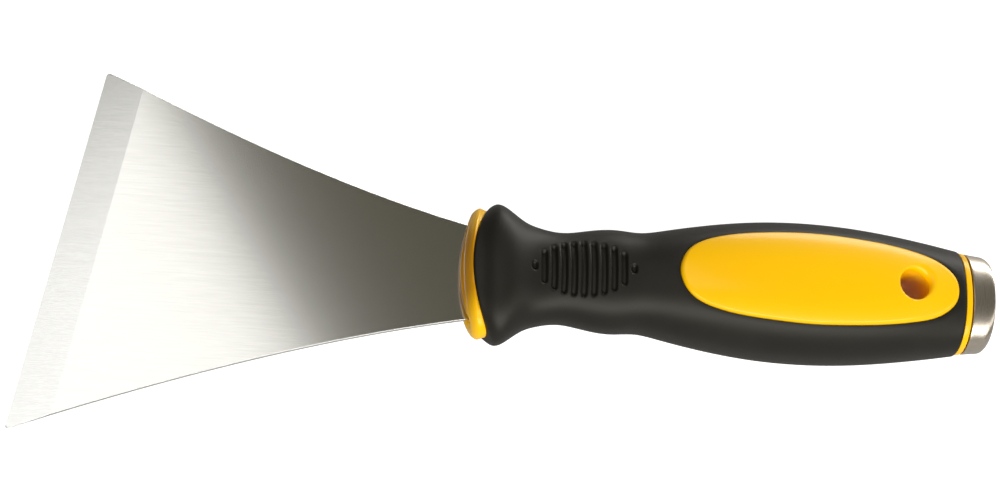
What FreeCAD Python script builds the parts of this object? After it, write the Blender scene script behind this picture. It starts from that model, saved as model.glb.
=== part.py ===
import FreeCAD, Part
import functools
import math
import os

# Drywall taping knife with a strike cap, in millimetres.
# X runs along the tool, from the working edge at negative X to the strike cap at positive X.
# Y runs across the blade. Z is normal to the blade, and the bevel is ground on its +Z face.
# The origin is the centre of the hang hole, on the blade's mid-plane.

# Blade: a plate with a flared outline, skewed front edge and one ground bevel.
edge_x = -220.3              # where the working edge crosses the tool's axis
edge_half = 49.1             # half the edge's width across the tool
edge_skew = 0.223            # forward lean of the edge, along X per unit of Y
edge_land = 0.4              # thickness left at the working edge
corner_radius = 0.8          # at the two ends of the working edge
bevel_width = 10.4           # ground width, measured along X
blade_thickness = 1.4
flare_control_x = -157.2     # the flare's one control point, which sets how hollow its sides are
flare_control_half = 21.3
root_x = -111.8              # rear end of the blade's full width, inside the front collar
root_half = 12.2

# Tang: the strip behind the blade, with an eye round the hang hole and a tenon at its end.
tang_half = 7.0
eye_radius = 10.0
eye_hole_radius = 6.2
tenon_half = 5.0
tenon_end_x = 19.2
tang_fit = 0.05              # side clearance round the tang in its pocket

# Grip outline: where each oval section stands, its half width in Y and its half thickness in Z.
oval_power = 2.3             # 2 is an ellipse, and more is squarer
grip_sections = (
    (-120.0, 14.6, 9.0),
    (-116.0, 15.3, 9.4),
    (-112.4, 16.1, 9.8),
    (-110.2, 17.7, 10.6),
    (-107.8, 18.75, 11.0),
    (-104.8, 17.4, 10.8),
    (-100.8, 14.5, 9.6),
    (-96.8, 12.95, 8.9),
    (-91.3, 12.0, 9.2),
    (-84.3, 12.9, 10.0),
    (-76.8, 13.55, 10.8),
    (-70.8, 13.1, 11.3),
    (-64.8, 13.95, 12.4),
    (-52.8, 16.2, 14.2),
    (-40.8, 17.8, 15.0),
    (-26.8, 18.4, 15.1),
    (-12.8, 17.7, 14.5),
    (1.2, 15.95, 12.9),
    (10.2, 14.55, 10.9),
    (17.7, 13.3, 9.8),
    (26.0, 12.7, 9.6),
)
grip_wall = 2.4              # soft sleeve over the hard core

# Ends of the sleeve, collar, ring and cap: arcs in plan, named by where they cross the axis.
front_arc_radius = 32.0
rear_arc_radius = 130.0
collar_front_x = -118.0
collar_arc_radius = 34.0     # the collar's front face in plan
collar_dome_radius = 18.0    # and from top to bottom
collar_dome_reach = 12.0     # how far the dome's arc runs above and below the mid-plane
collar_proud = 0.5           # how far the collar's rim stands above the grip's line
sleeve_front_x = -115.1
core_front_x = -109.0
sleeve_rear_x = 14.95
ring_inset = 0.25            # the ring is a little slimmer than the grip's line
cap_front_x = 16.7
cap_rear_x = 22.6
cap_inset = 0.15
cap_overlap = 2.0            # how far the cap's form starts ahead of the sleeve's rear end
cap_rounding = ((1.2, 0.0), (0.5, 0.25), (0.15, 0.6), (0.0, 1.1))   # distance from the end, and step inwards

# Strike cap: a solid head with a slotted shank that holds the tenon.
shank_start_x = 10.4
shank_half_width = 7.0
shank_half_thickness = 3.6
cap_rivet_x = 13.6
cap_rivet_radius = 1.5

# Oval inlay panels: half outline from the front tip to the rear tip.
inlay_outline = (
    (-61.9, 0.0),
    (-60.6, 4.4),
    (-57.4, 7.6),
    (-51.8, 9.8),
    (-42.8, 11.4),
    (-27.8, 12.35),
    (-12.8, 11.6),
    (-1.8, 10.1),
    (6.2, 7.9),
    (11.1, 4.3),
    (12.55, 0.0),
)
inlay_proud = 0.5            # how far a panel stands above the sleeve
hang_hole_radius = 4.2

# Thumb grooves: cut across the sleeve, their ends on an oval.
groove_centre_x = -86.35
groove_pitch = 2.55
groove_count = 11
groove_oval_half_length = 13.0
groove_oval_half_width = 7.8
groove_half_width = 0.65
groove_depth = 0.7

# Rivets through the two core halves and the tang.
rivet_places = (-98.0, -76.0, -46.0, -20.0)
rivet_radius = 1.75
rivet_head_radius = 3.2
rivet_head_height = 1.2
rivet_head_depth = 0.3       # from a head's end up to the core's surface

reach = 300.0                # cutting tools reach this far past the part
outline_points = 24
loft_degree = 5
shortest_groove = 0.2        # straight length left in the two end grooves
length_tolerance = 0.01


def vector(x, y, z):
    return FreeCAD.Vector(x, y, z)


def oval_wire(x, half_width, half_thickness, power=oval_power):
    """A closed smooth curve round a rounded-oval section at x."""
    points = []
    for i in range(outline_points):
        angle = 2 * math.pi * i / outline_points
        y = math.copysign(abs(math.cos(angle)) ** (2 / power), math.cos(angle))
        z = math.copysign(abs(math.sin(angle)) ** (2 / power), math.sin(angle))
        points.append(vector(x, half_width * y, half_thickness * z))
    curve = Part.BSplineCurve()
    curve.interpolate(Points=points, PeriodicFlag=True)
    return Part.Wire([curve.toShape()])


@functools.cache
def grip_body(inset):
    """The grip's whole outer form, made smaller all round by inset."""
    wires = [oval_wire(x, a - inset, b - inset) for x, a, b in grip_sections]
    return Part.makeLoft(wires, True, False, False, loft_degree)


def half_size_at(x):
    """The grip's half width and half thickness between its sections."""
    for (x0, a0, b0), (x1, a1, b1) in zip(grip_sections, grip_sections[1:]):
        if x0 <= x <= x1:
            share = (x - x0) / (x1 - x0)
            return a0 + share * (a1 - a0), b0 + share * (b1 - b0)
    raise ValueError("x is outside the grip")


def behind_front_arc(x):
    """Everything behind an arc in plan that bulges towards the blade and crosses the axis at x."""
    centre_x = x + front_arc_radius
    tool = Part.makeCylinder(front_arc_radius, 2 * reach, vector(centre_x, 0, -reach))
    rest = Part.makeBox(reach, 2 * reach, 2 * reach, vector(centre_x, -reach, -reach))
    return tool.fuse(rest)


def behind_collar_dome():
    """Everything behind the collar's front face, a barrel that is round in plan and bulges at mid-height."""
    fall = collar_dome_radius - math.sqrt(collar_dome_radius ** 2 - collar_dome_reach ** 2)
    top = vector(collar_arc_radius - fall, 0, collar_dome_reach)
    middle = vector(collar_arc_radius, 0, 0)
    bottom = vector(collar_arc_radius - fall, 0, -collar_dome_reach)
    edges = [
        Part.Arc(top, middle, bottom).toShape(),
        Part.makeLine(bottom, vector(0, 0, -collar_dome_reach)),
        Part.makeLine(vector(0, 0, -collar_dome_reach), vector(0, 0, collar_dome_reach)),
        Part.makeLine(vector(0, 0, collar_dome_reach), top),
    ]
    barrel = Part.Face(Part.Wire(edges)).revolve(vector(0, 0, 0), vector(0, 0, 1), 360)
    barrel.translate(vector(collar_front_x + collar_arc_radius, 0, 0))
    return barrel


def ahead_of_rear_arc(x):
    """Everything ahead of an arc in plan that bulges towards the cap and crosses the axis at x."""
    centre_x = x - rear_arc_radius
    tool = Part.makeCylinder(rear_arc_radius, 2 * reach, vector(centre_x, 0, -reach))
    rest = Part.makeBox(reach, 2 * reach, 2 * reach, vector(centre_x - reach, -reach, -reach))
    return tool.fuse(rest)


def half_space(side):
    """Everything above the mid-plane for side 1, or below it for side -1."""
    return Part.makeBox(2 * reach, 2 * reach, reach, vector(-reach, -reach, 0 if side > 0 else -reach))


def ahead_of(x):
    return Part.makeBox(reach, 2 * reach, 2 * reach, vector(x - reach, -reach, -reach))


def upright_cylinder(x, radius, low, high):
    return Part.makeCylinder(radius, high - low, vector(x, 0, low))


def only_solid(shape):
    """The largest solid of a boolean's result."""
    return max(shape.Solids, key=lambda solid: solid.Volume)


# Blade and tang


def flare_edge(side):
    """One hollow side of the blade, leaned forward with the working edge."""
    def leaned(x, half):
        return vector(x + edge_skew * side * half, side * half, 0)
    curve = Part.BezierCurve()
    front = leaned(edge_x, edge_half)
    control = leaned(flare_control_x, flare_control_half)
    curve.setPoles([front, control, vector(root_x, side * root_half, 0)])
    return curve.toShape()


def blade_plate():
    """The flared outline, made as thick as the blade."""
    left = flare_edge(1)
    right = flare_edge(-1)
    front = Part.makeLine(right.Vertexes[0].Point, left.Vertexes[0].Point)
    rear = Part.makeLine(left.Vertexes[1].Point, right.Vertexes[1].Point)
    face = Part.Face(Part.Wire(Part.__sortEdges__([front, left, rear, right])))
    face.translate(vector(0, 0, -blade_thickness / 2))
    return face.extrude(vector(0, 0, blade_thickness))


def tang_plate(grow, eye_hole=True):
    """The strip, the eye round the hang hole and the tenon, each side out by grow."""
    half = blade_thickness / 2
    strip_end = -eye_radius / 2
    side = tang_half + grow
    strip = Part.makeBox(strip_end - root_x, 2 * side, 2 * half, vector(root_x, -side, -half))
    eye = upright_cylinder(0, eye_radius + grow, -half, half)
    side = tenon_half + grow
    tenon = Part.makeBox(tenon_end_x, 2 * side, 2 * half, vector(0, -side, -half))
    tang = strip.fuse([eye, tenon])
    if eye_hole:
        tang = tang.cut(upright_cylinder(0, eye_hole_radius - grow, -reach, reach))
    return tang


def bevel_cutter():
    """The wedge ground off the blade's upper face along the skewed edge."""
    top = blade_thickness / 2
    bottom = edge_land - blade_thickness / 2
    slope = (top - bottom) / bevel_width
    ahead = bevel_width
    corners = [
        vector(-ahead, 0, bottom - slope * ahead),
        vector(bevel_width, 0, top),
        vector(bevel_width, 0, top + ahead),
        vector(-ahead, 0, top + ahead),
    ]
    start = vector(edge_x - edge_skew * reach / 2, -reach / 2, 0)
    wire = Part.makePolygon(corners + corners[:1])
    wire.translate(start)
    return Part.Face(wire).extrude(vector(edge_skew * reach, reach, 0))


def blade():
    """Blade and full-length tang in one piece, pierced for the rivets and the hang hole."""
    plate_shape = blade_plate().cut(bevel_cutter())
    shape = only_solid(plate_shape.fuse(tang_plate(0.0)))
    for x in rivet_places:
        shape = shape.cut(upright_cylinder(x, rivet_radius, -reach, reach))
    shape = shape.cut(upright_cylinder(cap_rivet_x, cap_rivet_radius, -reach, reach))
    corners = [
        edge for edge in shape.Edges
        if edge.BoundBox.XLength < length_tolerance
        and edge.BoundBox.YLength < length_tolerance
        and abs(edge.CenterOfMass.y) > edge_half - corner_radius
    ]
    return shape.makeFillet(corner_radius, corners).removeSplitter()


# Hard yellow parts


def core_body():
    return grip_body(grip_wall)


def front_collar():
    """A dome-fronted ring round the blade's root, with a spigot inside the sleeve."""
    rim = grip_body(-collar_proud).common(behind_collar_dome()).cut(behind_front_arc(sleeve_front_x))
    spigot = core_body().common(behind_front_arc(sleeve_front_x)).common(ahead_of(core_front_x))
    shape = rim.fuse(spigot)
    shape = shape.cut(blade_plate()).cut(tang_plate(tang_fit, False))
    return only_solid(shape).removeSplitter()


def cap_shank(grow=0.0):
    size_x = cap_front_x - shank_start_x + 2 * grow
    return Part.makeBox(
        size_x, 2 * (shank_half_width + grow), 2 * (shank_half_thickness + grow),
        vector(shank_start_x - grow, -shank_half_width - grow, -shank_half_thickness - grow),
    )


def rivet_head_z(x):
    """Where a rivet's head ends: just under the core's surface."""
    return half_size_at(x)[1] - grip_wall - rivet_head_depth


def tang_rivet(x):
    top = rivet_head_z(x)
    shank = upright_cylinder(x, rivet_radius, -top, top)
    upper = upright_cylinder(x, rivet_head_radius, top - rivet_head_height, top)
    lower = upright_cylinder(x, rivet_head_radius, -top, rivet_head_height - top)
    return shank.fuse([upper, lower]).removeSplitter()


def rivet_bore(x):
    """What a rivet and its two counterbores take out of the core."""
    seat = rivet_head_z(x) - rivet_head_height
    bore = upright_cylinder(x, rivet_radius, -reach, reach)
    upper = upright_cylinder(x, rivet_head_radius, seat, reach)
    lower = upright_cylinder(x, rivet_head_radius, -reach, -seat)
    return bore.fuse([upper, lower])


def core_half(side):
    """Half of the hard core, with pockets for the tang, cap shank and rivets."""
    shape = core_body().common(half_space(side)).common(ahead_of_rear_arc(cap_front_x))
    shape = shape.cut(ahead_of(core_front_x))
    shape = shape.cut(tang_plate(tang_fit)).cut(cap_shank(tang_fit))
    for x in rivet_places:
        shape = shape.cut(rivet_bore(x))
    shape = shape.cut(upright_cylinder(0, hang_hole_radius, -reach, reach))
    return only_solid(shape)


def inlay_prism():
    """The inlay's plan outline, drawn up through the whole grip."""
    upper = [vector(x, y, -reach) for x, y in inlay_outline]
    lower = [vector(x, -y, -reach) for x, y in reversed(inlay_outline[1:-1])]
    curve = Part.BSplineCurve()
    curve.interpolate(Points=upper + lower, PeriodicFlag=True)
    return Part.Face(Part.Wire([curve.toShape()])).extrude(vector(0, 0, 2 * reach))


def inlay(side):
    """One oval panel: it lies on the core, fills the sleeve's window and stands a little proud."""
    shape = inlay_prism().common(grip_body(-inlay_proud)).cut(core_body())
    shape = only_solid(shape.common(half_space(side)))
    shape = shape.cut(upright_cylinder(0, hang_hole_radius, -reach, reach))
    return only_solid(shape)


def rear_ring():
    """A thin ring between the sleeve and the strike cap, round the core."""
    shape = grip_body(ring_inset).common(ahead_of_rear_arc(cap_front_x))
    shape = shape.cut(ahead_of_rear_arc(sleeve_rear_x)).cut(core_body())
    return only_solid(shape)


# Soft sleeve


def thumb_grooves():
    """Round-ended slots on both faces, their length set by an oval."""
    slots = []
    middle = (groove_count - 1) / 2
    for i in range(groove_count):
        offset = groove_pitch * (i - middle)
        x = groove_centre_x + offset
        half_length = groove_oval_half_width * math.sqrt(1 - (offset / groove_oval_half_length) ** 2)
        straight = max(half_length - groove_half_width, shortest_groove / 2)
        corner = vector(x - groove_half_width, -straight, -reach)
        slot = Part.makeBox(2 * groove_half_width, 2 * straight, 2 * reach, corner)
        ends = [
            Part.makeCylinder(groove_half_width, 2 * reach, vector(x, end, -reach))
            for end in (-straight, straight)
        ]
        slots.append(slot.fuse(ends).removeSplitter())
    return Part.makeCompound(slots).cut(grip_body(groove_depth))


def grip_sleeve():
    """The soft overmoulded sleeve, with a window for each inlay panel."""
    shape = grip_body(0.0).common(behind_front_arc(sleeve_front_x)).common(ahead_of_rear_arc(sleeve_rear_x))
    shape = shape.cut(core_body()).cut(inlay_prism()).cut(thumb_grooves())
    return only_solid(shape)


# Strike cap and its rivet


def cap_body():
    """The head's oval form, from inside the grip to its rounded rear end."""
    stations = [sleeve_rear_x - cap_overlap] + [cap_rear_x - back for back, _ in cap_rounding]
    steps = [0.0] + [step for _, step in cap_rounding]
    wires = []
    for x, step in zip(stations, steps):
        half_width, half_thickness = half_size_at(x)
        inset = cap_inset + step
        wires.append(oval_wire(x, half_width - inset, half_thickness - inset))
    front = Part.makeLoft(wires[:2], True, True)
    rear = Part.makeLoft(wires[1:], True, True)
    return front.fuse(rear)


def strike_cap():
    """A solid steel head with a slotted shank, made in one."""
    head = cap_body().cut(ahead_of_rear_arc(cap_front_x))
    shape = only_solid(head).fuse(cap_shank())
    half = blade_thickness / 2 + tang_fit
    slot = Part.makeBox(
        tenon_end_x + tang_fit - shank_start_x, 2 * (tenon_half + tang_fit), 2 * half,
        vector(shank_start_x, -tenon_half - tang_fit, -half),
    )
    shape = shape.cut(slot).cut(tang_plate(tang_fit, False))
    shape = shape.cut(upright_cylinder(cap_rivet_x, cap_rivet_radius, -reach, reach))
    return only_solid(shape).removeSplitter()


def cap_rivet():
    return upright_cylinder(cap_rivet_x, cap_rivet_radius, -shank_half_thickness, shank_half_thickness)


sub_parts = {
    "blade": blade(),
    "front_collar": front_collar(),
    "core_upper_half": core_half(1),
    "core_lower_half": core_half(-1),
    "upper_inlay": inlay(1),
    "lower_inlay": inlay(-1),
    "grip_sleeve": grip_sleeve(),
    "rear_ring": rear_ring(),
    "strike_cap": strike_cap(),
    "tang_rivets": Part.makeCompound([tang_rivet(x) for x in rivet_places]),
    "cap_rivet": cap_rivet(),
}

os.makedirs("parts", exist_ok=True)
for name, shape in sub_parts.items():
    shape.exportStep("parts/" + name + ".step")
    size = shape.BoundBox
    print(
        name, "solids", len(shape.Solids), "valid", shape.isValid(), "mm3", round(shape.Volume, 1),
        "x", round(size.XMin, 2), round(size.XMax, 2), "y", round(size.YMin, 2), round(size.YMax, 2),
        "z", round(size.ZMin, 2), round(size.ZMax, 2),
    )
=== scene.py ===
import math

import bmesh
import bpy
import numpy as np
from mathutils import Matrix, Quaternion, Vector


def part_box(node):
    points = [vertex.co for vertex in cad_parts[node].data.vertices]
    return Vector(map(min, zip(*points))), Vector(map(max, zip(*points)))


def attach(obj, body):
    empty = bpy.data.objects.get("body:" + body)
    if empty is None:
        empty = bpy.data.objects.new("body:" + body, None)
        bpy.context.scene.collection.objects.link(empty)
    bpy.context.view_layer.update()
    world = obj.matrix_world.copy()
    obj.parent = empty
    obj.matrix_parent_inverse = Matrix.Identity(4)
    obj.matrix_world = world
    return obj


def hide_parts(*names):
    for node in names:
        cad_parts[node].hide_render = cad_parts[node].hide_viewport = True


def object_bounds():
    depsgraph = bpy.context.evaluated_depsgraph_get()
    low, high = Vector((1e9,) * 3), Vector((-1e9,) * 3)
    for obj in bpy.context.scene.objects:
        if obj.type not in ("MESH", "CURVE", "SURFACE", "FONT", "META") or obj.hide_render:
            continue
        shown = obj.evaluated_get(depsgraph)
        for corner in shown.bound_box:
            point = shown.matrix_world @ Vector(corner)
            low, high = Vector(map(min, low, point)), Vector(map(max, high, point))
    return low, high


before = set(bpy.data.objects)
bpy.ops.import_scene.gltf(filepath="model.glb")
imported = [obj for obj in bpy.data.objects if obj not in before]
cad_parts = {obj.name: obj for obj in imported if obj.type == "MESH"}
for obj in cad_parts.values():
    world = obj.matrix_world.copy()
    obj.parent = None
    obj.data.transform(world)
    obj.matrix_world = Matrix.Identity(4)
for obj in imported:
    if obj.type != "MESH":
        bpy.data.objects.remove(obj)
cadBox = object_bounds()
print("frame loaded, nodes:", len(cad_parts))

mm = 0.001
evenly = (1, 1, 1)
collarLow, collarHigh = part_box("front_collar")
sleeveLow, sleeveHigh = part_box("grip_sleeve")
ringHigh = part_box("rear_ring")[1]
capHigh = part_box("strike_cap")[1]


class Wire:
    # one output socket, with operators that add Math nodes behind it
    def __init__(self, bench, socket):
        self.bench = bench
        self.socket = socket

    def calc(self, operation, *others):
        values = dict(enumerate((self,) + others))
        return self.bench.add("ShaderNodeMath", {"operation": operation}, values)

    def __add__(self, other):
        return self.calc("ADD", other)

    def __sub__(self, other):
        return self.calc("SUBTRACT", other)

    def __rsub__(self, other):
        return self.bench.number(other).calc("SUBTRACT", self)

    def __mul__(self, other):
        return self.calc("MULTIPLY", other)

    def __truediv__(self, other):
        return self.calc("DIVIDE", other)

    def __pow__(self, other):
        return self.calc("POWER", other)

    def __neg__(self):
        return self.calc("MULTIPLY", -1.0)

    def __abs__(self):
        return self.calc("ABSOLUTE")

    __radd__ = __add__
    __rmul__ = __mul__

    def atLeast(self, other):
        return self.calc("MAXIMUM", other)

    def atMost(self, other):
        return self.calc("MINIMUM", other)

    def smoothRise(self, start, end):
        settings = {"interpolation_type": "SMOOTHSTEP"}
        return self.bench.add("ShaderNodeMapRange", settings, {0: self, 1: start, 2: end})


class Bench:
    # builds one node tree
    def __init__(self, tree):
        self.tree = tree

    def add(self, kind, settings=None, sockets=None):
        node = self.tree.nodes.new(kind)
        for key, value in (settings or {}).items():
            setattr(node, key, value)
        for key, value in (sockets or {}).items():
            if isinstance(value, Wire):
                self.tree.links.new(value.socket, node.inputs[key])
            else:
                node.inputs[key].default_value = value
        return Wire(self, node.outputs[0])

    def number(self, value):
        return self.add("ShaderNodeMath", {"operation": "ADD"}, {0: float(value), 1: 0.0})

    def parts(self, vector):
        node = self.add("ShaderNodeSeparateXYZ", None, {0: vector}).socket.node
        return [Wire(self, node.outputs[i]) for i in range(3)]

    def blend(self, share, first, second):
        mix = self.add("ShaderNodeMix", {"data_type": "RGBA"}, {0: share, 6: first, 7: second})
        return Wire(self, mix.socket.node.outputs[2])


class Finish(Bench):
    # a material with one Principled shader
    def __init__(self, name, constants):
        self.material = bpy.data.materials.new(name)
        self.material.use_nodes = True
        super().__init__(self.material.node_tree)
        self.shader = self.tree.nodes["Principled BSDF"]
        for key, value in constants.items():
            self.shader.inputs[key].default_value = value

    def coords(self, stretch=evenly):
        place = self.add("ShaderNodeTexCoord")
        place = Wire(self, place.socket.node.outputs["Object"])
        return self.add("ShaderNodeMapping", None, {"Vector": place, "Scale": stretch})

    def noise(self, stretch, scale, detail, rough):
        place = self.coords(stretch)
        sockets = {"Vector": place, "Scale": scale, "Detail": detail, "Roughness": rough}
        return self.add("ShaderNodeTexNoise", None, sockets)

    def bump(self, height, distance, strength):
        sockets = {"Height": height, "Distance": distance, "Strength": strength}
        return self.add("ShaderNodeBump", None, sockets)

    def feed(self, **links):
        names = {"colour": "Base Color", "roughness": "Roughness", "normal": "Normal"}
        for key, wire in links.items():
            self.tree.links.new(wire.socket, self.shader.inputs[names[key]])
        return self.material


def grey(value):
    return (value, value, value, 1.0)


steelLook = {
    "plain": (0.690, 0.683, 0.660, 1.0),
    "worn": (0.655, 0.647, 0.623, 1.0),
    "roughness": (0.11, 0.15),
    "grainLength": 40.0,        # how much longer than wide a grinding line is
    "grainScale": 6500.0,
    "broadShare": 0.25,         # scale of the broad lines against the fine ones
    "fineWeight": 0.7,
    "fineDetail": (4.0, 0.6),   # detail and roughness of a noise
    "broadDetail": (3.0, 0.5),
    "lineRise": (0.35, 0.68),
    "cloudScale": 38.0,
    "cloudDetail": (2.0, 0.5),
    "cloudRise": (0.4, 0.7),
    "cloudShare": 0.25,
    "lineDepth": 0.0000003,
    "bumpStrength": 1.0,
}


def brushedSteel(name, look, along=evenly):
    made = Finish(name, {"Metallic": 1.0, "IOR": 2.5})
    fine = made.noise(along, look["grainScale"], *look["fineDetail"])
    broad = made.noise(along, look["grainScale"] * look["broadShare"], *look["broadDetail"])
    cloud = made.noise(evenly, look["cloudScale"], *look["cloudDetail"])
    lines = fine * look["fineWeight"] + broad * (1 - look["fineWeight"])
    colour = made.blend(lines.smoothRise(*look["lineRise"]), look["plain"], look["worn"])
    patches = cloud.smoothRise(*look["cloudRise"]) * look["cloudShare"]
    colour = made.blend(patches, colour, look["worn"])
    low, high = look["roughness"]
    roughness = lines * (high - low) + low
    normal = made.bump(lines, look["lineDepth"], look["bumpStrength"])
    return made.feed(colour=colour, roughness=roughness, normal=normal)


yellowLook = {
    "colour": (0.98, 0.535, 0.0, 1.0),
    "deep": (0.97, 0.50, 0.0, 1.0),
    "roughness": (0.34, 0.44),
    "cloudScale": 55.0,
    "cloudDetail": (3.0, 0.5),
    "cloudRise": (0.35, 0.75),
    "cloudShare": 0.35,
    "cloudWeight": 0.5,         # the cloud's part in the roughness
    "textureScale": 2600.0,
    "textureDetail": (2.0, 0.5),
    "textureDepth": 0.000004,
    "bumpStrength": 0.5,
    "surface": {
        "IOR": 1.45, "Specular IOR Level": 0.3, "Specular Tint": (1.0, 0.88, 0.5, 1.0),
        "Coat Weight": 0.35, "Coat Roughness": 0.2, "Coat IOR": 1.5,
    },
    "seatShadeShare": 0.75,
    "seat": (0.42, 0.155, 0.003, 1.0),      # painted shade round the blade's seat, a deep orange standing in for the dim front face of the collar
    "seatShadeInner": 0.006,
    "seatShadeOuter": 0.0140,
}


def yellowPlastic(name, paintSeatShade):
    look = yellowLook
    made = Finish(name, look["surface"])
    cloud = made.noise(evenly, look["cloudScale"], *look["cloudDetail"])
    texture = made.noise(evenly, look["textureScale"], *look["textureDetail"])
    patches = cloud.smoothRise(*look["cloudRise"]) * look["cloudShare"]
    colour = made.blend(patches, look["colour"], look["deep"])
    # painted shade: near the blade's seat the yellow is blended towards a deep orange, standing in for
    # the shade on the collar's front face
    if paintSeatShade:
        across = abs(made.parts(made.coords())[1])
        near = 1 - across.smoothRise(look["seatShadeInner"], look["seatShadeOuter"])
        colour = made.blend(near * look["seatShadeShare"], colour, look["seat"])
    low, high = look["roughness"]
    weight = look["cloudWeight"]
    roughness = (cloud * weight + texture * (1 - weight)) * (high - low) + low
    normal = made.bump(texture, look["textureDepth"], look["bumpStrength"])
    return made.feed(colour=colour, roughness=roughness, normal=normal)


rubberLook = {
    "colour": (0.0100, 0.0088, 0.0072, 1.0),
    "dusty": (0.0165, 0.0150, 0.0122, 1.0),
    "roughness": (0.41, 0.53),
    "cloudScale": 45.0,
    "cloudDetail": (4.0, 0.5),
    "cloudRise": (0.4, 0.8),
    "cloudShare": 0.5,
    "cloudWeight": 0.6,
    "textureScale": 3400.0,
    "textureDetail": (3.0, 0.6),
    "textureDepth": 0.000012,
    "bumpStrength": 0.6,
    "surface": {"IOR": 1.5, "Specular IOR Level": 0.26, "Specular Tint": (1.0, 0.97, 0.88, 1.0)},
}


def gripRubber():
    look = rubberLook
    made = Finish("gripRubber", look["surface"])
    cloud = made.noise(evenly, look["cloudScale"], *look["cloudDetail"])
    texture = made.noise(evenly, look["textureScale"], *look["textureDetail"])
    patches = cloud.smoothRise(*look["cloudRise"]) * look["cloudShare"]
    colour = made.blend(patches, look["colour"], look["dusty"])
    low, high = look["roughness"]
    weight = look["cloudWeight"]
    roughness = (cloud * weight + texture * (1 - weight)) * (high - low) + low
    normal = made.bump(texture, look["textureDepth"], look["bumpStrength"])
    return made.feed(colour=colour, roughness=roughness, normal=normal)


alongBlade = (1 / steelLook["grainLength"], 1, 1)
aroundCap = (1, 1 / steelLook["grainLength"], 1)
bladeSteel = brushedSteel("bladeSteel", steelLook, alongBlade)
bevelLook = dict(
    steelLook,
    plain=(0.78, 0.78, 0.77, 1.0),
    worn=(0.72, 0.72, 0.71, 1.0),
    roughness=(0.22, 0.27),
)
bevelSteel = brushedSteel("bevelSteel", bevelLook, alongBlade)
capLook = dict(
    steelLook,
    plain=(0.57, 0.52, 0.45, 1.0),
    worn=(0.43, 0.38, 0.32, 1.0),
    roughness=(0.27, 0.40),
)
capSteel = brushedSteel("capSteel", capLook, aroundCap)
rivetSteel = brushedSteel("rivetSteel", capLook)
yellow = yellowPlastic("yellowPlastic", False)
# the collar's yellow carries painted shade round the blade's seat
collarYellow = yellowPlastic("collarYellow", True)
rubber = gripRubber()
print("finishes made")

# the grip's outer form, which most pieces follow
gripForm = {
    "ovalPower": 2.3,           # 2 is an ellipse, and more is squarer
    "frontArc": 32.0,           # plan radius of the sleeve's front end
    "rearArc": 130.0,           # plan radius of the sleeve's rear end and the ring
    "wall": 2.3,
    "settleRounds": 3,          # rounds that settle the width of a row with a curved front
    "flankLimit": 0.999,        # where a height over the mid-plane stops being read
    # along the tool, half width and half thickness
    "stations": [
        (-120.0, 14.6, 9.0), (-116.0, 15.3, 9.4), (-112.4, 16.1, 9.8), (-110.2, 17.7, 10.6),
        (-107.8, 18.75, 11.0),
        (-104.8, 17.4, 10.8), (-100.8, 14.5, 9.6), (-96.8, 12.95, 8.9), (-91.3, 12.0, 9.2),
        (-84.3, 12.9, 10.0), (-76.8, 13.55, 10.8), (-70.8, 13.1, 11.3), (-64.8, 13.95, 12.4),
        (-52.8, 16.2, 14.2), (-40.8, 17.8, 15.0), (-26.8, 18.4, 15.1), (-12.8, 17.7, 14.5),
        (1.2, 15.95, 12.9), (10.2, 14.55, 10.9), (17.7, 13.3, 9.8), (26.0, 12.7, 9.6),
    ],
}


def splineThrough(places, values):
    # natural cubic spline, solved for its second derivatives
    x = np.array(places, float)
    y = np.array(values, float)
    h = np.diff(x)
    slope = np.diff(y) / h
    count = len(x)
    grid = np.eye(count)
    right = np.zeros(count)
    for i in range(1, count - 1):
        grid[i, i - 1:i + 2] = h[i - 1], 2 * (h[i - 1] + h[i]), h[i]
        right[i] = 6 * (slope[i] - slope[i - 1])
    bend = np.linalg.solve(grid, right)

    def at(place):
        p = np.clip(np.asarray(place, float), x[0], x[-1])
        i = np.clip(np.searchsorted(x, p) - 1, 0, count - 2)
        a = (x[i + 1] - p) / h[i]
        b = (p - x[i]) / h[i]
        curve = ((a ** 3 - a) * bend[i] + (b ** 3 - b) * bend[i + 1]) * h[i] ** 2 / 6
        return a * y[i] + b * y[i + 1] + curve

    return at


stationX, stationWide, stationThick = zip(*gripForm["stations"])
halfWidthAt = splineThrough(np.array(stationX) * mm, np.array(stationWide) * mm)
halfThickAt = splineThrough(np.array(stationX) * mm, np.array(stationThick) * mm)


def ovalReach(angle, halfWidth, halfThick):
    power = gripForm["ovalPower"]
    sides = (np.abs(np.cos(angle)) / halfWidth) ** power + (np.abs(np.sin(angle)) / halfThick) ** power
    return sides ** (-1 / power)


def arcDrop(y, radius):
    # how far an arc in plan falls back from its crown at y
    return radius - np.sqrt(radius ** 2 - np.minimum(np.abs(y), radius) ** 2)


def formRows(rows, columns):
    # each row is (x, wide inset, thick inset, front arc share, rear arc share, rear arc radius)
    angle = np.linspace(0, 2 * math.pi, columns, endpoint=False)[None, :]
    data = np.array(rows, float)
    x0, insetWide, insetThick, frontShare, rearShare, rearRadius = [data[:, i:i + 1] for i in range(6)]
    x = x0 + 0 * angle
    for _ in range(gripForm["settleRounds"]):
        reach = ovalReach(angle, halfWidthAt(x) - insetWide, halfThickAt(x) - insetThick)
        y = reach * np.cos(angle)
        z = reach * np.sin(angle)
        front = frontShare * arcDrop(y, gripForm["frontArc"] * mm)
        rear = rearShare * arcDrop(y, rearRadius)
        x = x0 + front - rear
    return np.stack([x, y, z], axis=2)


def skinHeight(x, y, above):
    # height of the grip's surface over the mid-plane, raised by above
    power = gripForm["ovalPower"]
    share = np.clip(np.abs(y) / (halfWidthAt(x) + above), 0, gripForm["flankLimit"])
    return (halfThickAt(x) + above) * (1 - share ** power) ** (1 / power)


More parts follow.
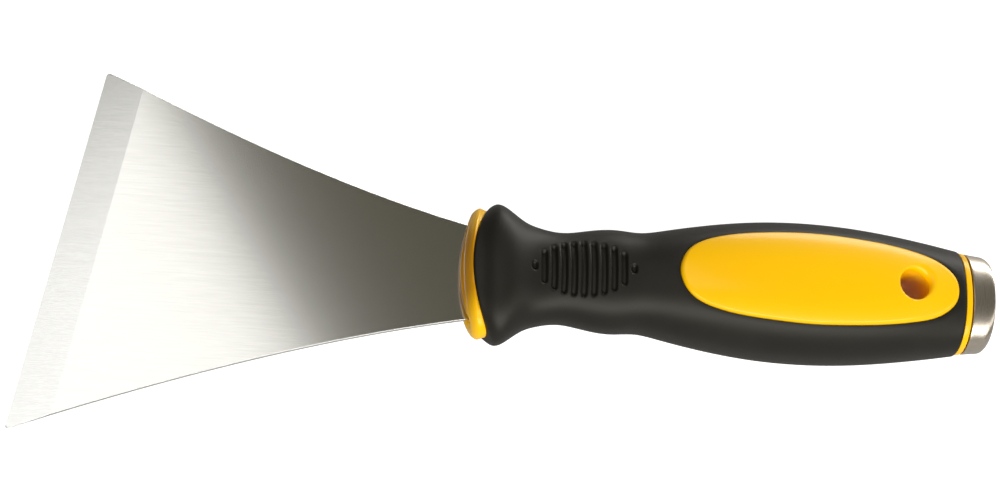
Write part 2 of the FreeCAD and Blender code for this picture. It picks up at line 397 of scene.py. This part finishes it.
def showMesh(name, vertices, faces, finishes, sharpAngle=40.0):
    mesh = bpy.data.meshes.new(name)
    mesh.from_pydata([tuple(v) for v in vertices], [], faces)
    mesh.update()
    for finish in finishes:
        mesh.materials.append(finish)
    work = bmesh.new()
    work.from_mesh(mesh)
    bmesh.ops.recalc_face_normals(work, faces=work.faces)
    work.to_mesh(mesh)
    work.free()
    mesh.shade_smooth()
    mesh.set_sharp_from_angle(angle=math.radians(sharpAngle))
    piece = bpy.data.objects.new(name, mesh)
    bpy.context.scene.collection.objects.link(piece)
    return piece


def ringFaces(rowCount, columns, closed):
    faces = []
    for i in range(rowCount if closed else rowCount - 1):
        here = i * columns
        there = (i + 1) % rowCount * columns
        for j in range(columns):
            k = (j + 1) % columns
            faces.append((here + j, here + k, there + k, there + j))
    return faces


def ringSolid(name, points, finishes, closed, sharpAngle=40.0):
    # rows of points round the tool: a closed loop of rows, or rows with a face over each end
    rowCount, columns = points.shape[:2]
    faces = ringFaces(rowCount, columns, closed)
    vertices = points.reshape(-1, 3)
    if not closed:
        ends = [points[0].mean(axis=0), points[-1].mean(axis=0)]
        vertices = np.vstack([vertices, ends])
        first = rowCount * columns
        last = first - columns
        for j in range(columns):
            k = (j + 1) % columns
            faces.append((first, k, j))
            faces.append((first + 1, last + j, last + k))
    return showMesh(name, vertices, faces, finishes, sharpAngle)


def seat(piece, slotName, *nodes):
    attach(piece, "root")
    if nodes:
        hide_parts(*nodes)
    return piece


def roundOver(radius, steps):
    # (distance back from the end, step inwards) round a quarter circle, ending at the end face
    turns = np.linspace(0, math.pi / 2, steps + 1)
    return [(radius * (1 - math.sin(t)), radius * (1 - math.cos(t))) for t in turns]


bladeForm = {
    "edgeX": -220.3, "edgeHalf": 49.1, "skew": 0.223,
    "controlX": -157.2, "controlHalf": 21.3,
    "rootX": -111.8, "rootHalf": 12.2,
    "land": 0.4, "bevelWidth": 10.4, "thickness": 1.4,
    "edgeRound": 0.16,          # broken edge along the blade's sides
    "edgeLimit": 2.2,           # the local thickness over this is the most it can be
    "edgeRun": 1.6,             # where the flat starts, in edge rounds
    "frontRows": (0.0, 0.05, 0.12, 0.25, 0.42, 0.6, 0.8, 3.0, 6.0, 9.0),
    "cornerRound": 1.3,
    "creaseBreak": 0.07,
    "creaseRun": 0.5,
    "groundMargin": 0.02,
    "facingUp": 0.5,
    "sharpAngle": 50.0,
    "rows": 46,
    "sideSteps": 801,
    "tangOverlap": 0.2,
    "weld": 0.001,
}


def bladeSide(side):
    form = bladeForm
    edgeY = side * form["edgeHalf"]
    controlY = side * form["controlHalf"]
    start = np.array([form["edgeX"] + form["skew"] * edgeY, edgeY])
    control = np.array([form["controlX"] + form["skew"] * controlY, controlY])
    end = np.array([form["rootX"], side * form["rootHalf"]])
    t = np.linspace(0, 1, form["sideSteps"])[:, None]
    line = (1 - t) ** 2 * start + 2 * t * (1 - t) * control + t ** 2 * end
    # distance behind the working edge
    behind = line[:, 0] - form["skew"] * line[:, 1] - form["edgeX"]
    return line * mm, behind * mm


def bladeStations():
    # distance behind the working edge, then share of the way on to the root
    form = bladeForm
    bevel = form["bevelWidth"]
    crease = form["creaseBreak"]
    run = form["creaseRun"]
    front = list(form["frontRows"])
    front += [bevel - run, bevel - crease, bevel, bevel + crease, bevel + run]
    stations = [(distance * mm, 0.0) for distance in front]
    stations += [(front[-1] * mm, share) for share in np.linspace(0, 1, form["rows"])[1:]]
    return stations


def bladeSection(a, b, top, bottom):
    # one closed loop across the blade, with its two sides broken
    form = bladeForm
    width = np.linalg.norm(b - a)
    across = (b - a) / width
    turn = min(form["edgeRound"] * mm, (top - bottom) / form["edgeLimit"])
    profile = []
    for degrees in (0, 30, 60, 90):
        angle = math.radians(degrees)
        profile.append((turn * (1 - math.cos(angle)), turn * (1 - math.sin(angle))))
    profile.append((turn * form["edgeRun"], 0.0))
    shares = (0.25, 0.5, 0.75)
    ring = [(*(a + across * inward), top - fall) for inward, fall in profile]
    ring += [(*(a + across * width * share), top) for share in shares]
    ring += [(*(b - across * inward), top - fall) for inward, fall in reversed(profile)]
    ring += [(*(b - across * inward), bottom + fall) for inward, fall in profile]
    ring += [(*(a + across * width * share), bottom) for share in reversed(shares)]
    ring += [(*(a + across * inward), bottom + fall) for inward, fall in reversed(profile)]
    return ring


def makeBlade():
    form = bladeForm
    half = form["thickness"] * mm / 2
    slope = (form["thickness"] - form["land"]) / form["bevelWidth"]
    corner = form["cornerRound"] * mm
    sides = [bladeSide(-1), bladeSide(1)]
    rows = []
    for distance, share in bladeStations():
        ends = []
        for line, behind in sides:
            place = distance * (1 - share) + behind[-1] * share
            ends.append(np.array([np.interp(place, behind, line[:, axis]) for axis in (0, 1)]))
        a, b = ends
        across = (b - a) / np.linalg.norm(b - a)
        cut = corner - math.sqrt(corner ** 2 - max(0.0, corner - distance) ** 2)
        top = min(-half + form["land"] * mm + slope * distance, half)
        rows.append(bladeSection(a + across * cut, b - across * cut, top, -half))
    points = np.array(rows)
    columns = points.shape[1]
    faces = ringFaces(len(rows), columns, False)
    faces.append(tuple(range(columns))[::-1])
    faces.append(tuple((len(rows) - 1) * columns + j for j in range(columns)))
    vertices = points.reshape(-1, 3)
    piece = showMesh("bladePlate", vertices, faces, [bladeSteel, bevelSteel], form["sharpAngle"])
    ground = (form["edgeX"] + form["bevelWidth"] - form["groundMargin"]) * mm
    for polygon in piece.data.polygons:
        behind = polygon.center.x - form["skew"] * polygon.center.y
        if behind < ground and polygon.normal.z > form["facingUp"]:
            polygon.material_index = 1
    return piece


def makeTang():
    # the hidden strip behind the blade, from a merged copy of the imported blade
    work = bmesh.new()
    work.from_mesh(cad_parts["blade"].data)
    bmesh.ops.remove_doubles(work, verts=work.verts, dist=bladeForm["weld"] * mm)
    cut = (bladeForm["rootX"] - bladeForm["tangOverlap"]) * mm
    everything = work.verts[:] + work.edges[:] + work.faces[:]
    bmesh.ops.bisect_plane(
        work, geom=everything, plane_co=(cut, 0, 0), plane_no=(1, 0, 0), clear_inner=True
    )
    rim = [edge for edge in work.edges if edge.is_boundary]
    bmesh.ops.contextual_create(work, geom=rim)
    bmesh.ops.recalc_face_normals(work, faces=work.faces)
    mesh = bpy.data.meshes.new("tangStrip")
    work.to_mesh(mesh)
    work.free()
    mesh.materials.append(bladeSteel)
    piece = bpy.data.objects.new("tangStrip", mesh)
    bpy.context.scene.collection.objects.link(piece)
    return piece


seat(makeBlade(), "blade_steel", "blade")
seat(makeTang(), "blade_steel")
print("blade made")

collarForm = {
    "columns": 256,
    "lipArc": 34.0,             # plan radius of the lip against the blade
    "rollArc": 50.0,            # and of the roll outside it
    "rollStart": 6.3,           # thick inset where the roll begins
    # wide inset, thick inset and distance behind the front arc, from the blade out to the rim
    "face": [
        (4.0, 8.9, 1.0), (2.9, 8.1, 0.72), (2.5, 7.4, 0.76), (2.3, 6.9, 0.98), (2.1, 6.5, 1.6),
        (1.7, 6.1, 1.72), (0.9, 5.7, 1.4), (0.3, 5.2, 1.15), (-0.4, 4.4, 1.05), (-0.9, 3.4, 1.2),
        (-1.2, 2.4, 1.46), (-1.4, 1.5, 1.78), (-1.45, 0.9, 2.08), (-1.45, 0.55, 2.38), (-1.3, 0.35, 2.7),
    ],
    # insets and distance ahead of the sleeve, over the rim and into the sleeve's front
    "rim": [(0.4, 0.3, 0.1), (0.6, 0.45, 0.0), (2.6, 2.6, 0.0)],
    "tailInset": 2.6,           # the hidden part under the sleeve
}


def makeCollar():
    form = collarForm
    angle = np.linspace(0, 2 * math.pi, form["columns"], endpoint=False)
    rows = []

    def ring(startX, arc, insetWide, insetThick):
        x = startX + 0 * angle
        for _ in range(gripForm["settleRounds"]):
            halfWidth = halfWidthAt(x) - insetWide * mm
            halfThick = halfThickAt(x) - insetThick * mm
            reach = ovalReach(angle, halfWidth, halfThick)
            y = reach * np.cos(angle)
            z = reach * np.sin(angle)
            x = startX + (arcDrop(y, arc * mm) if arc else 0 * y)
        rows.append(np.stack([x, y, z], axis=1))

    for insetWide, insetThick, back in form["face"]:
        arc = form["rollArc"] if insetThick < form["rollStart"] else form["lipArc"]
        ring(collarLow.x + back * mm, arc, insetWide, insetThick)
    for insetWide, insetThick, ahead in form["rim"]:
        ring(sleeveLow.x - ahead * mm, gripForm["frontArc"], insetWide, insetThick)
    ring(collarHigh.x, None, form["tailInset"], form["tailInset"])
    return ringSolid("collarRing", np.array(rows), [collarYellow], False)


seat(makeCollar(), "yellow_plastic", "front_collar")

inlayForm = {
    # half outline from the front tip to the rear tip
    "outline": [
        (-61.9, 0.0), (-60.6, 4.4), (-57.4, 7.6), (-51.8, 9.8), (-42.8, 11.4), (-27.8, 12.35),
        (-12.8, 11.6), (-1.8, 10.1), (6.2, 7.9), (11.1, 4.3), (12.55, 0.0),
    ],
    "proud": 0.5,
    "edgeRound": 0.9,
    "depth": 2.2,               # down to the core
    "holeRadius": 4.2,
    "mouthRound": (0.7, 2.6),   # nearest the grip's front and right side, and opposite
    "mouthTurn": 38.0,
    "columns": 320,
    "wallStart": 0.3,           # share of the hole's wall below its first ring
    "wallRings": 5,
    "mouthRings": 9,
    "topRings": 44,
    "edgeRings": 8,
    "underRings": 8,
    "stepsBetween": 60,         # along the outline, from one named point to the next
}


def closedSpline(points, count):
    # periodic Catmull-Rom curve with evenly spaced points
    p = np.array(points, float)
    n = len(p)
    dense = []
    for i in range(n):
        a, b, c, d = p[i - 1], p[i], p[(i + 1) % n], p[(i + 2) % n]
        t = np.linspace(0, 1, inlayForm["stepsBetween"], endpoint=False)[:, None]
        square = (2 * a - 5 * b + 4 * c - d) * t ** 2
        cube = (3 * b - a - 3 * c + d) * t ** 3
        dense.append(0.5 * (2 * b + (c - a) * t + square + cube))
    dense = np.vstack(dense)
    loop = np.vstack([dense, dense[:1]])
    run = np.concatenate([[0], np.cumsum(np.linalg.norm(np.diff(loop, axis=0), axis=1))])
    even = np.linspace(0, run[-1], count, endpoint=False)
    return np.stack([np.interp(even, run, loop[:, 0]), np.interp(even, run, loop[:, 1])], axis=1)


def inlayLoop(count, grow=0.0):
    half = inlayForm["outline"]
    loop = half + [(x, -y) for x, y in half[-2:0:-1]]
    points = closedSpline(loop, count) * mm
    if grow:
        ahead = np.roll(points, -1, axis=0) - np.roll(points, 1, axis=0)
        ahead /= np.linalg.norm(ahead, axis=1)[:, None]
        outward = np.stack([-ahead[:, 1], ahead[:, 0]], axis=1)
        outward *= np.sign((outward * (points - points.mean(axis=0))).sum())
        points = points + outward * grow
    return points


def makeInlay(name, side):
    form = inlayForm
    rim = inlayLoop(form["columns"])
    direction = rim / np.linalg.norm(rim, axis=1)[:, None]
    hole = direction * form["holeRadius"] * mm
    depth = form["depth"] * mm
    rows = []

    def ring(plan, height):
        rows.append(np.column_stack([plan, side * height]))

    tight, loose = form["mouthRound"]
    turn = math.radians(form["mouthTurn"])
    leaning = direction @ np.array([math.cos(turn), math.sin(turn)])
    mouth = (tight + (loose - tight) * np.clip(leaning, 0, 1) ** 2) * mm
    spread = mouth[:, None]
    proud = form["proud"] * mm
    floor = skinHeight(hole[:, 0], hole[:, 1], -depth)
    top = skinHeight(hole[:, 0], hole[:, 1], proud)
    ring(hole, floor)
    for t in np.linspace(form["wallStart"], 1, form["wallRings"], endpoint=False):
        ring(hole, floor + (top - mouth - floor) * t)
    for angle in np.linspace(0, math.pi / 2, form["mouthRings"]):
        plan = hole + direction * spread * (1 - math.cos(angle))
        surface = skinHeight(plan[:, 0], plan[:, 1], proud)
        ring(plan, surface - mouth * (1 - math.sin(angle)))
    start = hole + direction * spread
    edge = form["edgeRound"] * mm
    inward = rim - (rim - start) * (edge / np.linalg.norm(rim - start, axis=1))[:, None]
    for t in np.linspace(0, 1, form["topRings"])[1:]:
        plan = start + (inward - start) * t
        ring(plan, skinHeight(plan[:, 0], plan[:, 1], proud))
    for angle in np.linspace(0, math.pi / 2, form["edgeRings"])[1:]:
        plan = inward + (rim - inward) * math.sin(angle)
        surface = skinHeight(plan[:, 0], plan[:, 1], proud)
        ring(plan, surface - edge * (1 - math.cos(angle)))
    base = skinHeight(rim[:, 0], rim[:, 1], -depth)
    ring(rim, base)
    for t in np.linspace(0, 1, form["underRings"])[1:-1]:
        plan = rim + (hole - rim) * t
        ring(plan, skinHeight(plan[:, 0], plan[:, 1], -depth))
    return ringSolid(name, np.array(rows), [yellow], True)


seat(makeInlay("inlayTop", 1), "yellow_plastic", "upper_inlay")
seat(makeInlay("inlayBack", -1), "yellow_plastic", "lower_inlay")
print("collar and inlays made")

sleeveForm = {
    "columns": 224,
    "frontRound": 0.7,
    "rearRound": 0.9,
    "roundSteps": 5,
    "sharpAngle": 60.0,
    "cutSharpAngle": 45.0,
    "windowGap": 0.16,          # all round an inlay
    "windowLip": 1.4,           # how far the sleeve's surface rolls down towards a window
    "windowLipDrop": 0.28,
    "windowLean": 3.0,          # height at which the drop has half its strength
    "windowSamples": 400,
    "samplesAtOnce": 50,
    "farAway": 1.0,
    "frontFade": 14.0,          # length over which the end arcs die away
    "rearFade": 12.0,
    "coarseStep": 0.72,
    "fineStep": 0.2,
    "fineMargin": 2.0,          # fine rows run this far past the grooves
    "lastGap": 0.3,
    "innerRows": 42,
    "cutterLevels": (5.0, 20.0),
    "outlineSteps": 300,
}

grooveForm = {
    "Centre": -86.35, "Pitch": 2.55, "Count": 11,
    "Oval Half Length": 13.0, "Oval Half Width": 7.8,
    "Half Width": 1.03, "Depth": 0.95,
}


def sleeveRows():
    form = sleeveForm
    front, rear = sleeveLow.x, sleeveHigh.x
    rearRadius = gripForm["rearArc"] * mm
    reach = (grooveForm["Oval Half Length"] + form["fineMargin"]) * mm
    fineStart = grooveForm["Centre"] * mm - reach
    fineEnd = grooveForm["Centre"] * mm + reach
    rows = []

    def add(x, inset):
        frontShare = float(np.clip(1 - (x - front) / (form["frontFade"] * mm), 0, 1)) ** 2
        rearShare = float(np.clip(1 - (rear - x) / (form["rearFade"] * mm), 0, 1)) ** 2
        rows.append((x, inset, inset, frontShare, rearShare, rearRadius))

    for back, step in reversed(roundOver(form["frontRound"] * mm, form["roundSteps"])):
        add(front + back, step)
    place = front + form["frontRound"] * mm
    stop = rear - form["rearRound"] * mm
    while True:
        fine = fineStart < place < fineEnd
        place += (form["fineStep"] if fine else form["coarseStep"]) * mm
        if place > stop - form["lastGap"] * mm:
            break
        add(place, 0.0)
    outer = len(rows)
    for back, step in roundOver(form["rearRound"] * mm, form["roundSteps"]):
        add(rear - back, step)
    wall = gripForm["wall"] * mm
    add(rear, wall)
    for x in np.linspace(rear, front, form["innerRows"])[1:-1]:
        add(x, wall)
    add(front, wall)
    return rows, outer


def rollWindowLips(points, outer):
    # lowers the outer skin softly round both windows
    form = sleeveForm
    loop = inlayLoop(form["windowSamples"])
    batch = form["samplesAtOnce"]
    flat = points[:outer, :, :2].reshape(-1, 2)
    nearest = np.full(len(flat), form["farAway"])
    for start in range(0, len(loop), batch):
        away = flat[:, None, :] - loop[None, start:start + batch, :]
        nearest = np.minimum(nearest, np.linalg.norm(away, axis=2).min(axis=1))
    share = np.clip(1 - nearest / (form["windowLip"] * mm), 0, 1) ** 2
    drop = (form["windowLipDrop"] * mm * share).reshape(outer, -1)
    height = points[:outer, :, 2]
    lean = np.abs(height) / (np.abs(height) + form["windowLean"] * mm)
    points[:outer, :, 2] -= np.sign(height) * drop * lean
    return points


def grooveTree():
    tree = bpy.data.node_groups.new("thumbGrooves", "GeometryNodeTree")
    face = tree.interface
    face.new_socket("Geometry", in_out="INPUT", socket_type="NodeSocketGeometry")
    for name in grooveForm:
        face.new_socket(name, in_out="INPUT", socket_type="NodeSocketFloat")
    face.new_socket("Finish", in_out="INPUT", socket_type="NodeSocketMaterial")
    face.new_socket("Geometry", in_out="OUTPUT", socket_type="NodeSocketGeometry")
    bench = Bench(tree)
    given = bench.add("NodeGroupInput").socket.node
    value = {socket.name: Wire(bench, socket) for socket in given.outputs}
    x, y, z = bench.parts(bench.add("GeometryNodeInputPosition"))
    offset = x - value["Centre"]
    middle = (value["Count"] - 1) * 0.5
    index = (offset / value["Pitch"]).calc("ROUND").atLeast(-middle).atMost(middle)
    along = offset - index * value["Pitch"]
    share = (index * value["Pitch"] / value["Oval Half Length"]) ** 2
    reach = value["Oval Half Width"] * (1 - share).calc("SQRT")
    straight = (reach - value["Half Width"]).atLeast(0.0)
    past = (abs(y) - straight).atLeast(0.0)
    distance = (along * along + past * past).calc("SQRT")
    wallShare = 0.72        # of the half width, and the rest is the groove's floor
    inside = (1 - distance / value["Half Width"]).smoothRise(0.0, wallShare)
    skin = bench.add("GeometryNodeInputNamedAttribute", {"data_type": "FLOAT"}, {"Name": "outerSkin"})
    depth = inside * value["Depth"] * skin
    normal = bench.add("GeometryNodeInputNormal")
    move = bench.add("ShaderNodeVectorMath", {"operation": "SCALE"}, {0: normal, "Scale": -depth})
    shaped = bench.add("GeometryNodeSetPosition", None, {"Geometry": value["Geometry"], "Offset": move})
    real = bench.add("GeometryNodeRealizeInstances", None, {0: shaped})
    done = bench.add("GeometryNodeSetMaterial", None, {"Geometry": real, "Material": value["Finish"]})
    result = tree.nodes.new("NodeGroupOutput")
    tree.links.new(done.socket, result.inputs[0])
    return tree


def runNodes(piece, tree, values):
    modifier = piece.modifiers.new(tree.name, "NODES")
    modifier.node_group = tree
    for item in tree.interface.items_tree:
        if item.in_out == "INPUT" and item.name in values:
            modifier[item.identifier] = values[item.name]
    graph = bpy.context.evaluated_depsgraph_get()
    mesh = bpy.data.meshes.new_from_object(piece.evaluated_get(graph))
    piece.modifiers.remove(modifier)
    piece.data = mesh
    return piece


def cutWindows(piece):
    # takes the two inlay windows out of the sleeve
    form = sleeveForm
    loop = inlayLoop(form["outlineSteps"], form["windowGap"] * mm)
    count = len(loop)
    for side in (1, -1):
        low, high = [level * mm * side for level in form["cutterLevels"]]
        vertices = [(*p, low) for p in loop] + [(*p, high) for p in loop]
        faces = [tuple(range(count)), tuple(range(2 * count - 1, count - 1, -1))]
        faces += [(i, (i + 1) % count, count + (i + 1) % count, count + i) for i in range(count)]
        cutter = showMesh("windowCutter", vertices, faces, [])
        modifier = piece.modifiers.new("window", "BOOLEAN")
        modifier.operation = "DIFFERENCE"
        modifier.solver = "EXACT"
        modifier.object = cutter
        graph = bpy.context.evaluated_depsgraph_get()
        mesh = bpy.data.meshes.new_from_object(piece.evaluated_get(graph))
        piece.modifiers.remove(modifier)
        piece.data = mesh
        bpy.data.objects.remove(cutter)
    return piece


def makeSleeve():
    rows, outer = sleeveRows()
    points = rollWindowLips(formRows(rows, sleeveForm["columns"]), outer)
    piece = ringSolid("gripSleeve", points, [rubber], True, sleeveForm["sharpAngle"])
    skin = piece.data.attributes.new("outerSkin", "FLOAT", "POINT")
    flags = np.zeros((len(rows), sleeveForm["columns"]), np.float32)
    flags[:outer] = 1.0
    skin.data.foreach_set("value", flags.ravel())
    values = {key: size if key == "Count" else size * mm for key, size in grooveForm.items()}
    values["Count"] = float(grooveForm["Count"])
    values["Finish"] = rubber
    runNodes(piece, grooveTree(), values)
    piece.data.attributes.remove(piece.data.attributes["outerSkin"])
    cutWindows(piece)
    piece.data.shade_smooth()
    piece.data.set_sharp_from_angle(angle=math.radians(sleeveForm["cutSharpAngle"]))
    return piece


seat(makeSleeve(), "grip_rubber", "grip_sleeve")
print("sleeve made")

rearForm = {
    "columns": 256,
    "ringInset": 0.25,
    "ringRound": 0.3,
    "ringRoundSteps": 5,
    "ringOverlap": 0.2,         # into the sleeve's rear end
    "ringGap": 0.3,             # the shadow line ahead of the cap
    "capInset": 0.2,
    "capEndArc": 160.0,
    "capRoundWide": 2.2,
    "capRoundThick": 0.35,
    "capFrontBreak": 0.25,
    "capBreakSteps": 3,
    "capSideShares": (0.2, 0.4, 0.6, 0.8),
    "capRoundRows": 13,
    "capSharpAngle": 35.0,
    "capBore": 6.0,             # how far its front end reaches in towards the core
    "capEndSteps": (2.0, 4.0, 6.0),
}


def makeRing():
    form = rearForm
    radius = gripForm["rearArc"] * mm
    wall = gripForm["wall"] * mm
    front = sleeveHigh.x - form["ringOverlap"] * mm
    rear = ringHigh.x - form["ringGap"] * mm
    edge = form["ringRound"] * mm
    inset = form["ringInset"] * mm
    rows = [(front, wall, wall, 0, 1, radius)]
    corner = [(back, inset + step) for back, step in roundOver(edge, form["ringRoundSteps"])]
    rows += [(front + back, deep, deep, 0, 1, radius) for back, deep in reversed(corner)]
    rows += [(rear - back, deep, deep, 0, 1, radius) for back, deep in corner]
    rows.append((rear, wall, wall, 0, 1, radius))
    return ringSolid("rearRing", formRows(rows, form["columns"]), [yellow], True)


def makeCap():
    form = rearForm
    frontRadius = gripForm["rearArc"] * mm
    endRadius = form["capEndArc"] * mm
    front = ringHigh.x
    rear = capHigh.x
    inset = form["capInset"] * mm
    lip = form["capFrontBreak"] * mm
    bore = form["capBore"] * mm
    rows = [(front, bore, bore, 0, 1, frontRadius)]
    for back, step in reversed(roundOver(lip, form["capBreakSteps"])):
        rows.append((front + back, inset + step, inset + step, 0, 1, frontRadius))
    wide = form["capRoundWide"] * mm
    thick = form["capRoundThick"] * mm
    for share in form["capSideShares"]:
        x = front + lip + (rear - wide - front - lip) * share
        radius = frontRadius + (endRadius - frontRadius) * share
        rows.append((x, inset, inset, 0, 1, radius))
    for t in np.linspace(0, math.pi / 2, form["capRoundRows"]):
        back = wide * (1 - math.sin(t))
        stepWide = wide * (1 - math.cos(t))
        turn = max(0.0, 1 - back / thick)
        stepThick = thick * (1 - math.sqrt(max(0.0, 1 - turn ** 2)))
        rows.append((rear - back, inset + stepWide, inset + stepThick, 0, 1, endRadius))
    for step in form["capEndSteps"]:
        rows.append((rear, inset + wide + step * mm, inset + thick + step * mm, 0, 1, endRadius))
    points = formRows(rows, form["columns"])
    return ringSolid("strikeCap", points, [capSteel], False, form["capSharpAngle"])


seat(makeRing(), "yellow_plastic", "rear_ring")
seat(makeCap(), "cap_steel", "strike_cap")

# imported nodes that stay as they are
keptNodes = {
    "core_upper_half": (yellow, "yellow_plastic"),
    "core_lower_half": (yellow, "yellow_plastic"),
    "tang_rivets": (rivetSteel, "rivet_steel"),
    "cap_rivet": (rivetSteel, "rivet_steel"),
}
for node, (finish, slotName) in keptNodes.items():
    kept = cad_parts[node]
    kept.data.materials.clear()
    kept.data.materials.append(finish)
print("ring, cap and kept nodes done")

stageForm = {
    "floorSize": 6.0,
    "floorGap": 0.0002,
    "floorSeen": 0.93,          # the paper's own glow where it is looked at directly
    "floorGlow": 0.10,          # and as the tool's surfaces see it
    "floorGreys": (0.42, 0.38),
    "mottleScale": 3.0,
    "mottleDetail": (3.0, 0.5),
    "mottleShare": 0.05,
    "surface": {"Roughness": 0.9, "Emission Strength": 1.0},
    "sky": (0.108, 0.100, 0.072, 1.0),
}


def makeFloor():
    half = stageForm["floorSize"] / 2
    level = cadBox[0].z - stageForm["floorGap"]
    corners = [(-half, -half, level), (half, -half, level), (half, half, level), (-half, half, level)]
    paper = Finish("floorPaper", stageForm["surface"])
    mottle = paper.noise(evenly, stageForm["mottleScale"], *stageForm["mottleDetail"])
    light, dark = stageForm["floorGreys"]
    colour = paper.blend(mottle * stageForm["mottleShare"], grey(light), grey(dark))
    seen = Wire(paper, paper.add("ShaderNodeLightPath").socket.node.outputs["Is Camera Ray"])
    glow = paper.blend(seen, grey(stageForm["floorGlow"]), grey(stageForm["floorSeen"]))
    paper.tree.links.new(glow.socket, paper.shader.inputs["Emission Color"])
    floor = showMesh("floor", corners, [(0, 1, 2, 3)], [paper.feed(colour=colour)])
    if floor.data.polygons[0].normal.z < 0:
        floor.data.flip_normals()


def makeSky():
    world = bpy.data.worlds.new("studio")
    world.use_nodes = True
    bench = Bench(world.node_tree)
    seen = Wire(bench, bench.add("ShaderNodeLightPath").socket.node.outputs["Is Camera Ray"])
    colour = bench.blend(seen, stageForm["sky"], grey(1.0))
    backdrop = world.node_tree.nodes["Background"]
    world.node_tree.links.new(colour.socket, backdrop.inputs["Color"])
    bpy.context.scene.world = world


daylight = (1.0, 0.99, 0.97)
lamps = {
    "bladePanel": {
        "place": (-0.2208, 0.1204, 0.60), "aim": (-0.2208, 0.1204, 0.0), "width": 0.30, "height": 0.42,
        "turn": 29.0, "brightness": 1.50, "colour": (1.0, 1.0, 0.995),
    },
    "frontBox": {
        "place": (-0.02, -0.70, 0.53), "aim": (-0.04, 0.0, 0.0), "width": 1.2, "height": 0.42,
        "turn": 0.0, "brightness": 6.4, "colour": daylight,
    },
    "backBox": {
        "place": (0.56, 0.93, 0.28), "aim": (0.14, 0.0, 0.02), "width": 1.1, "height": 0.34,
        "turn": 0.0, "brightness": 8.8, "colour": daylight,
    },
    "sideBox": {
        "place": (0.75, -0.25, 0.55), "aim": (-0.02, 0.0, 0.0), "width": 0.5, "height": 0.30,
        "turn": 0.0, "brightness": 3.5, "colour": daylight,
    },
}


def makeLamp(name, form):
    light = bpy.data.lights.new(name, "AREA")
    light.shape = "RECTANGLE"
    light.size = form["width"]
    light.size_y = form["height"]
    light.energy = form["brightness"] * math.pi * form["width"] * form["height"]
    light.color = form["colour"]
    lamp = bpy.data.objects.new(name, light)
    lamp.location = form["place"]
    lamp.rotation_mode = "QUATERNION"
    facing = (Vector(form["aim"]) - Vector(form["place"])).to_track_quat("-Z", "Y")
    lamp.rotation_quaternion = facing @ Quaternion((0, 0, 1), math.radians(form["turn"]))
    lamp.visible_camera = False
    bpy.context.scene.collection.objects.link(lamp)


cameraForm = {
    "azimuth": -23.90,
    "elevation": 67.10,
    "roll": 25.91,
    "aim": (-0.10669, 0.00695, -0.00006),
    "distance": 1.0312,
    "lens": 144.0,
    "sensor": 36.0,
}


def makeCamera():
    form = cameraForm
    azimuth = math.radians(form["azimuth"])
    elevation = math.radians(form["elevation"])
    level = math.cos(elevation)
    back = Vector((math.sin(azimuth) * level, -math.cos(azimuth) * level, math.sin(elevation)))
    lens = bpy.data.cameras.new("camera")
    lens.lens = form["lens"]
    lens.sensor_width = form["sensor"]
    camera = bpy.data.objects.new("camera", lens)
    camera.location = Vector(form["aim"]) + back * form["distance"]
    camera.rotation_mode = "QUATERNION"
    facing = (-back).to_track_quat("-Z", "Y")
    camera.rotation_quaternion = facing @ Quaternion((0, 0, 1), math.radians(form["roll"]))
    bpy.context.scene.collection.objects.link(camera)
    bpy.context.scene.camera = camera


makeFloor()
makeSky()
for name, form in lamps.items():
    makeLamp(name, form)
makeCamera()
bpy.context.scene.view_settings.view_transform = "Standard"
print("stage made")
